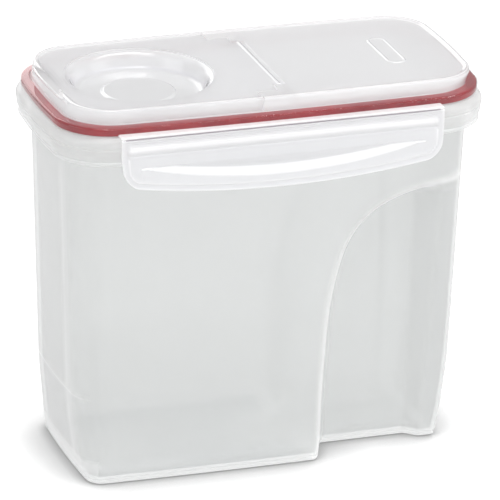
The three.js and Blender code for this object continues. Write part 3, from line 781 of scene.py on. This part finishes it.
def latch_face(u, z, inset, edge):
    """Height of the face above its plane, positive outwards."""
    face = np.zeros_like(u)
    across = smooth((LATCH_HALF - np.abs(u) - 3.2) / 1.4)
    # two fine lines, then the convex rib and the cove under it
    for line_z in (205.75, 204.75):
        face -= 0.22 * bell(z, line_z, 0.22) * across
    rib = np.clip(1 - ((z - 201.3) / 2.55) ** 2, 0, None)
    face += 0.92 * np.sqrt(rib) ** 1.1 * across
    face -= 0.25 * bell(z, 197.9, 0.55) * across
    # finger recess: straight upper edge, deepest part way down, crescent below
    full, deepest, foot = recess_lines(u)
    fall = smooth((RECESS_TOP - z) / np.maximum(RECESS_TOP - deepest, 1e-3))
    rise = smooth((deepest - z) / np.maximum(deepest - foot, 1e-3))
    face += np.where(z < RECESS_TOP, -1.75 * full ** 0.6 * fall * (1 - rise), 0)
    face += 0.25 * rise * smooth((inset - 3.9) / 1.0) * (full > 0)
    # bead that runs parallel to the outline
    fade = np.where(z < 197, 1, 0.5 + 0.5 * smooth((199 - z) / 2))
    face += 0.34 * bell(inset, 4.1, 0.42) * fade
    return face - edge_round(edge, 0.8)


def latch_back(u, z, face, inset, edge):
    """Height of the back: even wall, thicker behind the recess, with a bead."""
    back = np.minimum(-1.8, face - 0.95)
    bead = smooth((70 - np.abs(u)) / 1.5)
    back = back - bead * 0.8 * bell(z, 189.0, 0.85) * (back > -2.0)
    # the margin at the sides and bottom stands further back
    back = back - 0.75 * smooth((2.6 - inset) / 1.0) * smooth((196 - z) / 6)
    return back + edge_round(edge, 0.5)


def latch_columns():
    """x of the columns, close together over the rounded corners."""
    corner = LATCH_CORNER * (1 - np.cos(np.linspace(0, math.pi / 2, 14)))[1:]
    length = 2 * LATCH_HALF
    middle = np.linspace(LATCH_CORNER, length - LATCH_CORNER, 170)[1:-1]
    along = np.concatenate([[0], corner, middle, (length - corner)[::-1], [length]])
    return LATCH_X - LATCH_HALF + along


def latch_rows(u):
    """z of all points, one row below the other, following the features of the face."""
    bottom = rounded_bottom(u)
    _, deepest, foot = recess_lines(u)
    bead = np.minimum(bottom + 4.1, foot - 0.6)
    knots = [np.full_like(u, z) for z in (LATCH_TOP, 206.35, 204.1, 198.5, 197.2, 191.5)]
    knots += [deepest, foot, bead, np.minimum(bottom + 0.8, bead - 0.3), bottom]
    counts = [5, 14, 20, 6, 5, 12, 12, 7, 8, 5]
    # keep the rows apart where they crowd together
    for i in range(1, len(knots)):
        knots[i] = np.minimum(knots[i], knots[i - 1] - 0.02)
        knots[i] = np.maximum(knots[i], bottom + 0.02 * (len(knots) - 1 - i))
    rows = [upper + (lower - upper) * k / count
            for upper, lower, count in zip(knots, knots[1:], counts) for k in range(count)]
    return np.array(rows + [knots[-1]])


def plate_faces(m, n):
    """Faces of two m by n sheets, the second turned over, joined round their edge."""
    faces = []
    i, j = np.meshgrid(np.arange(m - 1), np.arange(n - 1), indexing="ij")
    for offset, order in ((0, 1), (m * n, -1)):
        a = offset + (i * n + j).ravel()
        faces += np.stack([a, a + 1, a + n + 1, a + n], 1)[:, ::order].tolist()
    ring = list(range(n))
    ring += [k * n + n - 1 for k in range(1, m)]
    ring += [(m - 1) * n + k for k in range(n - 2, -1, -1)]
    ring += [k * n for k in range(m - 2, 0, -1)]
    for a, b in zip(ring, ring[1:] + ring[:1]):
        faces.append([b, a, a + m * n, b + m * n])
    return faces


def latch_glow(u, z, inset):
    """Painted highlight on the rib, the crescent, the bead and the outline."""
    side = LATCH_HALF - np.abs(u)
    full, deepest, foot = recess_lines(u)
    rise = np.clip((deepest - z) / np.maximum(deepest - foot, 1e-3), 0, 1)
    glow = bell(z, 201.9, 1.7) * smooth((side - 3) / 2)
    crescent = 0.95 * (4 * rise * (1 - rise)) ** 0.6 * (full > 0) * smooth((side - 7) / 4)
    bead = 0.6 * bell(inset, 4.1, 0.5) * (z < 197)
    for part in (crescent, bead, 0.7 * bell(inset, 0, 0.9)):
        glow = np.maximum(glow, part)
    return glow


def front_latch():
    x = latch_columns()
    z = latch_rows(x - LATCH_X)
    x = np.repeat(x[None, :], len(z), 0)
    u = x - LATCH_X
    inset = outline_distance(u, z)
    edge = np.clip(np.minimum(inset, LATCH_TOP - z), 0, None)
    face = latch_face(u, z, inset, edge)
    back = latch_back(u, z, face, inset, edge)
    # both ends lean in a little towards the bottom, the pour end more
    down = smooth((200 - z) / 22)
    x = x + 2.2 * down * smooth((-u - 70) / 21) - 0.66 * down * smooth((u - 70) / 21)
    sheets = [np.stack([x, -FACE_Y - height, z], -1).reshape(-1, 3) for height in (face, back)]
    ob = build("front_latch_plate", np.concatenate(sheets), plate_faces(*x.shape))
    # painted highlight, at half strength on the back sheet
    glow = latch_glow(u, z, inset).ravel()
    set_field(ob, "glow", np.concatenate([glow, glow * 0.5]))
    return ob


# Section of the hinge web: distance from the middle plane, z
WEB_SECTION = [
    (63.95, 208.25), (64.2, 208.0), (64.3, 207.7), (64.32, 207.35), (64.3, 206.95),
    (64.15, 206.6), (63.7, 206.7), (63.68, 207.1), (63.68, 207.35), (63.68, 207.7), (63.7, 208.0)]


def hinge_web(name, sign):
    """Thin living hinge between the ledge and the latch's top edge. sign is 1 at the front."""
    reach = LATCH_HALF - 2.4
    return loft(name, [[(x, -y * sign, z) for y, z in WEB_SECTION]
                       for x in np.linspace(LATCH_X - reach, LATCH_X + reach, 60)])


# ---------------------------------------------------------------- materials
class Nodes:
    """Short calls for filling the node tree of a material or a world."""

    def __init__(self, owner, output="OutputMaterial"):
        owner.use_nodes = True
        self.owner = owner
        self.tree = owner.node_tree
        self.tree.nodes.clear()
        self.out = self.by_index(output)

    def feed(self, socket, value):
        if isinstance(value, bpy.types.NodeSocket):
            self.tree.links.new(value, socket)
        else:
            socket.default_value = value

    def node(self, kind, **inputs):
        node = self.tree.nodes.new("ShaderNode" + kind)
        for key, value in inputs.items():
            self.feed(node.inputs[key.replace("_", " ")], value)
        return node

    def by_index(self, kind, *inputs):
        node = self.tree.nodes.new("ShaderNode" + kind)
        for i, value in enumerate(inputs):
            self.feed(node.inputs[i], value)
        return node

    def math(self, operation, a, b, clamp=False):
        node = self.by_index("Math", a, b)
        node.operation = operation
        node.use_clamp = clamp
        return node.outputs[0]

    def shader(self, kind, **inputs):
        return self.node(kind, **inputs).outputs[0]

    def mix(self, factor, a, b):
        return self.by_index("MixShader", factor, a, b).outputs[0]

    def mix_colour(self, factor, a, b):
        return self.by_index("MixRGB", factor, a, b).outputs[0]

    def noise(self, **inputs):
        return self.node("TexNoise", **inputs).outputs["Fac"]

    def coordinates(self):
        return self.node("TexCoord").outputs["Object"]

    def facing(self):
        return self.node("LayerWeight", Blend=0.5).outputs["Facing"]

    def light_path(self, output):
        return self.node("LightPath").outputs[output]

    def attribute(self, name):
        node = self.node("Attribute")
        node.attribute_name = name
        return node.outputs["Fac"]

    def ramp(self, factor, stops):
        """Two-stop colour ramp."""
        node = self.by_index("ValToRGB", factor)
        for element, (position, colour) in zip(node.color_ramp.elements, stops):
            element.position = position
            element.color = (*colour, 1)
        return node.outputs[0]

    def finish(self, surface):
        self.feed(self.out.inputs[0], surface)
        return self.owner


def moulded(name, tint, haze, rough, gloss, grain, cloud, backward, edge, lets_by,
            clear_haze=None, outline=0.55, ripple=0.10):
    """Moulded translucent plastic: a milky share that scatters light, a clear share
    that lets the view through, and a surface sheen.

    haze: milky share; clear_haze: the same where the mesh is marked clear
    rough, gloss: roughness and strength of the sheen
    grain, ripple: strength of the fine and the broad bump
    cloud: unevenness of the haze; backward: share scattered through to the far side
    edge, outline: added haze, and painted shade (darkening), at grazing angles
    lets_by: light that passes into shadows
    """
    tree = Nodes(bpy.data.materials.new(name))
    co = tree.coordinates()
    cloudy = tree.noise(Vector=co, Scale=11.0, Detail=3.0, Roughness=0.5, Distortion=0.3)
    fine = tree.noise(Vector=co, Scale=1500.0, Detail=2.0, Roughness=0.55)
    wave = tree.noise(Vector=co, Scale=36.0, Detail=2.0, Roughness=0.45)
    grained = tree.shader("Bump", Height=fine, Strength=grain, Distance=0.00005)
    normal = tree.shader("Bump", Height=wave, Strength=ripple, Distance=0.0003, Normal=grained)

    # density: base haze, clouds, and more at grazing angles
    uneven = tree.math("MULTIPLY", tree.math("SUBTRACT", cloudy, 0.5), cloud)
    grazing = tree.math("MULTIPLY", tree.math("POWER", tree.facing(), 3.0), edge)
    sheen_rough = tree.math(
        "ADD", rough, tree.math("MULTIPLY", tree.math("SUBTRACT", wave, 0.5), 0.08), clamp=True)
    base = haze
    if clear_haze is not None:
        # where marked clear: little haze at any angle, a smoother and weaker sheen
        mark = tree.attribute("clearness")
        milky = tree.math("SUBTRACT", 1.0, mark)
        base = tree.math("ADD", clear_haze, tree.math("MULTIPLY", milky, haze - clear_haze))
        grazing = tree.math("MULTIPLY", grazing,
                            tree.math("ADD", 0.2, tree.math("MULTIPLY", milky, 0.8)))
        sheen_rough = tree.math("SUBTRACT", sheen_rough,
                                tree.math("MULTIPLY", mark, 0.07), clamp=True)
        gloss = tree.math("ADD", gloss, tree.math("MULTIPLY", mark, -0.2))
    dense = tree.math("ADD", tree.math("ADD", base, uneven), grazing, clamp=True)

    # colour: clouded tint, painted shade along the outline, painted highlight where marked glow,
    # painted grey shade where marked deep
    shade = tree.math("ADD", 0.5, tree.math("MULTIPLY", uneven, 2.0))
    colour = tree.ramp(shade, [(0.2, tuple(c * 0.96 for c in tint)), (0.8, tint)])
    # painted shade: darker towards the silhouette
    rimmed = tree.math("MULTIPLY", tree.math("POWER", tree.facing(), 5.0), outline, clamp=True)
    colour = tree.mix_colour(rimmed, colour, (0.36, 0.335, 0.37, 1))
    # painted highlight: whiter where the mesh is marked glow
    glow = tree.attribute("glow")
    colour = tree.mix_colour(tree.math("MULTIPLY", glow, 0.85), colour, (0.995, 0.995, 0.995, 1))
    # painted shade: greyer where the mesh is marked deep
    deep = tree.attribute("deep")
    colour = tree.mix_colour(tree.math("MULTIPLY", deep, 0.22), colour, (0.36, 0.40, 0.44, 1))
    marked = tree.math("ADD", glow, tree.math("MULTIPLY", deep, 0.4))
    dense = tree.math("ADD", dense, tree.math("MULTIPLY", marked, 0.28), clamp=True)

    milk = tree.shader("BsdfDiffuse", Color=colour, Roughness=0.6, Normal=normal)
    through = tree.shader("BsdfTranslucent", Color=colour, Normal=normal)
    scatter = tree.mix(backward, milk, through)
    clear_tint = (*(min(1, 0.6 + 0.4 * c) for c in tint), 1)
    clear = tree.shader("BsdfTransparent", Color=clear_tint)
    body = tree.mix(dense, clear, scatter)

    # sheen on outward surfaces only
    shine = tree.shader("BsdfGlossy", Color=(1, 1, 1, 1), Roughness=sheen_rough, Normal=normal)
    fresnel = tree.shader("Fresnel", IOR=1.49, Normal=normal)
    front = tree.math("SUBTRACT", 1.0, tree.node("NewGeometry").outputs["Backfacing"])
    sheen = tree.math("MULTIPLY", tree.math("MULTIPLY", fresnel, front), gloss, clamp=True)
    full = tree.mix(sheen, body, shine)
    # lamps reach through the walls
    passing = tree.shader("BsdfTransparent", Color=(lets_by, lets_by, lets_by, 1))
    return tree.finish(tree.mix(tree.light_path("Is Shadow Ray"), full, passing))


def rubber(name, colour, deep):
    """Soft rubber, blotched between two colours and finely grained."""
    tree = Nodes(bpy.data.materials.new(name))
    co = tree.coordinates()
    blotch = tree.noise(Vector=co, Scale=55.0, Detail=3.0, Roughness=0.55)
    fine = tree.noise(Vector=co, Scale=1300.0, Detail=2.0, Roughness=0.6)
    return tree.finish(tree.shader(
        "BsdfPrincipled",
        Base_Color=tree.ramp(blotch, [(0.3, deep), (0.7, colour)]),
        Roughness=tree.math("ADD", 0.34, tree.math("MULTIPLY", blotch, 0.16)),
        IOR=1.5,
        Normal=tree.shader("Bump", Height=fine, Strength=0.25, Distance=0.00008),
        Subsurface_Weight=0.12,
        Subsurface_Radius=(0.0018, 0.0004, 0.0003)))


# surface shared by the lid and the pour cap
GLASSY = dict(rough=0.12, gloss=1.5, grain=0.10, cloud=0.03, backward=0.40, edge=0.30,
              lets_by=0.92, outline=1.0)

BODY_PP = moulded("body_pp", tint=(0.80, 0.808, 0.805), haze=0.31, rough=0.32, gloss=0.8,
                  grain=0.30, cloud=0.05, backward=0.5, edge=0.35, lets_by=0.86,
                  outline=0.5, ripple=0.04)
CLEAR_PP = moulded("clear_pp", tint=(0.905, 0.905, 0.91), haze=0.56, clear_haze=0.012, **GLASSY)
CAP_PP = moulded("cap_pp", tint=(0.88, 0.88, 0.885), haze=0.50, **GLASSY)
LATCH_PP = moulded("latch_pp", tint=(0.89, 0.89, 0.905), haze=0.44, rough=0.12, gloss=2.0,
                   grain=0.10, cloud=0.02, backward=0.15, edge=0.30, lets_by=0.90, outline=0.9)
# the hinge web is tinted dark: painted shade in the groove between the ledge and the latch
WEB_PP = moulded("web_pp", tint=(0.50, 0.47, 0.50), haze=0.60, rough=0.25, gloss=0.6,
                 grain=0.10, cloud=0.02, backward=0.30, edge=0.20, lets_by=0.85)
SEAL_PP = moulded("seal_silicone", tint=(0.90, 0.90, 0.93), haze=0.65, rough=0.35, gloss=0.6,
                  grain=0.20, cloud=0.04, backward=0.5, edge=0.30, lets_by=0.80)
RED_TPE = rubber("red_tpe", colour=(0.42, 0.016, 0.026), deep=(0.30, 0.009, 0.018))


# ---------------------------------------------------------------- assembly
def even_normals(ob):
    """Large flat faces keep their own normal where they meet small rounded ones."""
    modifier = ob.modifiers.new("even", "WEIGHTED_NORMAL")
    modifier.mode = "FACE_AREA"
    modifier.weight = 100
    modifier.thresh = 0.01
    modifier.keep_sharp = True


def finish_piece(ob, material, body=None, replaces=None, angle=34.0, even=False):
    """Material, shading (sharp above angle degrees) and the piece's place in the frame."""
    mesh = ob.data
    mesh.materials.clear()
    mesh.materials.append(material)
    mesh.polygons.foreach_set("use_smooth", np.ones(len(mesh.polygons), bool))
    mesh.set_sharp_from_angle(angle=math.radians(angle))
    mesh.update()
    if even:
        even_normals(ob)
    if body:
        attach(ob, body)
    if replaces:
        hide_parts(replaces)
    return ob


finish_piece(container(), BODY_PP, "container", "container_body", angle=48)
finish_piece(lid(), CLEAR_PP, "lid", "lid", even=True)
finish_piece(gasket(), RED_TPE, "lid", "rim_gasket")
finish_piece(pour_cap(), CAP_PP, "pour_cap", "pour_cap", even=True)
finish_piece(cap_seal(), SEAL_PP, "pour_cap", "pour_cap_seal")
front = front_latch()
back = mirror_y(front, "back_latch_plate")
for plate, latch in ((front, "front_latch"), (back, "back_latch")):
    finish_piece(plate, LATCH_PP, latch, latch, angle=50)
for side, sign in (("front", 1), ("back", -1)):
    web = finish_piece(hinge_web(side + "_hinge_web", sign), WEB_PP, angle=60)
    # from the ledge down to the latch, in metres
    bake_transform(web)


# ---------------------------------------------------------------- studio (metres)
FLOOR_HALF, FLOOR_Z = 6.0, -0.0002
FLOOR_DIM = 0.35     # share of the floor's reflection that is taken away
FLOOR_GLOW = 0.60    # emission seen by the camera
FLOOR_BOUNCE = 0.40  # emission that lights the pieces
WHITE = (1, 1, 1, 1)


def floor_paper():
    tree = Nodes(bpy.data.materials.new("floor_paper"))
    co = tree.coordinates()
    grain = tree.noise(Vector=co, Scale=900.0, Detail=2.0)

    def occlusion(distance, power):
        node = tree.node("AmbientOcclusion", Distance=distance)
        node.samples = 12
        return tree.math("POWER", node.outputs["AO"], power)

    # painted contact shadow: ambient occlusion darkens the floor's colour near the pieces
    open_share = tree.math("MULTIPLY", occlusion(0.032, 1.4), occlusion(0.006, 0.7))
    # no painted shadow where the floor is seen through the plastic
    through = tree.math("GREATER_THAN", tree.light_path("Transparent Depth"), 0.5)
    open_share = tree.math("MAXIMUM", open_share, through)
    speck = tree.math("MULTIPLY", tree.math("SUBTRACT", grain, 0.5), 0.01)
    lit = tree.ramp(tree.math("ADD", open_share, speck),
                    [(0.0, (0.26, 0.26, 0.26)), (1.0, (1.0, 1.0, 1.0))])
    dimmed = tree.mix(FLOOR_DIM, tree.shader("BsdfDiffuse", Color=lit),
                      tree.shader("BsdfDiffuse", Color=(0, 0, 0, 1)))
    seen = tree.light_path("Is Camera Ray")
    power = tree.math("ADD", FLOOR_BOUNCE,
                      tree.math("MULTIPLY", seen, FLOOR_GLOW - FLOOR_BOUNCE))
    emission = tree.shader("Emission", Color=lit, Strength=power)
    paper = tree.by_index("AddShader", dimmed, emission).outputs[0]
    # mirrored in the plastic the floor is bright near the middle and dark far out
    away = tree.by_index("VectorMath", co)
    away.operation = "LENGTH"
    far = tree.math("MULTIPLY", tree.math("SUBTRACT", away.outputs["Value"], 1.3), 1.4,
                    clamp=True)
    strength = tree.math("SUBTRACT", 0.92, tree.math("MULTIPLY", far, 0.84))
    card = tree.shader("Emission", Color=WHITE, Strength=strength)
    return tree.finish(tree.mix(tree.light_path("Is Glossy Ray"), paper, card))


def floor():
    mesh = bpy.data.meshes.new("floor")
    signs = ((-1, -1), (1, -1), (1, 1), (-1, 1))
    mesh.from_pydata([(x * FLOOR_HALF, y * FLOOR_HALF, FLOOR_Z) for x, y in signs],
                     [], [(0, 1, 2, 3)])
    ob = bpy.data.objects.new("floor", mesh)
    scene.collection.objects.link(ob)
    mesh.materials.append(floor_paper())


def studio_world():
    world = bpy.data.worlds.new("studio")
    scene.world = world
    tree = Nodes(world, "OutputWorld")
    lighting = tree.shader("Background", Color=WHITE, Strength=0.44)
    backdrop = tree.shader("Background", Color=WHITE, Strength=1.05)
    tree.finish(tree.mix(tree.light_path("Is Camera Ray"), lighting, backdrop))


def placement(x_axis, y_axis, z_axis, at):
    return Matrix((*zip(x_axis, y_axis, z_axis, at), (0, 0, 0, 1)))


def area_lamp(name, size, power):
    light = bpy.data.lights.new(name, "AREA")
    light.energy = power
    light.size = size
    ob = bpy.data.objects.new(name, light)
    scene.collection.objects.link(ob)
    return ob


def soft_box(name, size, power, at):
    """Square lamp aimed at the middle of the container."""
    ob = area_lamp(name, size, power)
    ob.location = at
    aim = Vector(at) - Vector((0, 0, 0.1))
    ob.rotation_euler = aim.to_track_quat("Z", "Y").to_euler()


def strip_box(name, length, width, power, at, to):
    """Oblong lamp whose long side runs along X."""
    ob = area_lamp(name, length, power)
    ob.data.shape = "RECTANGLE"
    ob.data.size_y = width
    z_axis = Vector(at) - Vector(to)
    z_axis.x = 0
    z_axis.normalize()
    x_axis = Vector((1, 0, 0))
    ob.matrix_world = placement(x_axis, z_axis.cross(x_axis), z_axis, at)


def add_camera():
    data = bpy.data.cameras.new("camera")
    data.sensor_width = 36.0
    data.lens = 399.6
    data.clip_end = 50
    camera = bpy.data.objects.new("camera", data)
    camera.matrix_world = placement(
        x_axis=(0.94647, -0.32205, 0.02184), y_axis=(0.10126, 0.36046, 0.92726),
        z_axis=(-0.30649, -0.87541, 0.37378), at=(-0.93349, -2.67426, 1.25190))
    scene.collection.objects.link(camera)
    scene.camera = camera


floor()
studio_world()
soft_box("key", size=1.2, power=11.0, at=(-0.6, -1.1, 2.4))
soft_box("fill", size=1.6, power=6.0, at=(1.9, -1.4, 1.2))
soft_box("side", size=1.5, power=9.0, at=(-2.2, -0.4, 1.0))
soft_box("back", size=1.6, power=13.5, at=(-0.3, 2.1, 1.0))
strip_box("over", length=2.4, width=0.45, power=24.0, at=(0.6, -0.75, 1.95), to=(0, 0, 0.2))
strip_box("low", length=1.8, width=0.35, power=4.0, at=(0.65, -1.9, 0.56), to=(0, 0, 0.18))
add_camera()

scene.view_settings.view_transform = "Standard"
scene.view_settings.look = "None"
scene.cycles.max_bounces = 10
scene.cycles.diffuse_bounces = 5
scene.cycles.glossy_bounces = 4
scene.cycles.transmission_bounces = 8
scene.cycles.transparent_max_bounces = 32
scene.cycles.caustics_reflective = False
scene.cycles.caustics_refractive = False


bpy.context.view_layer.update()
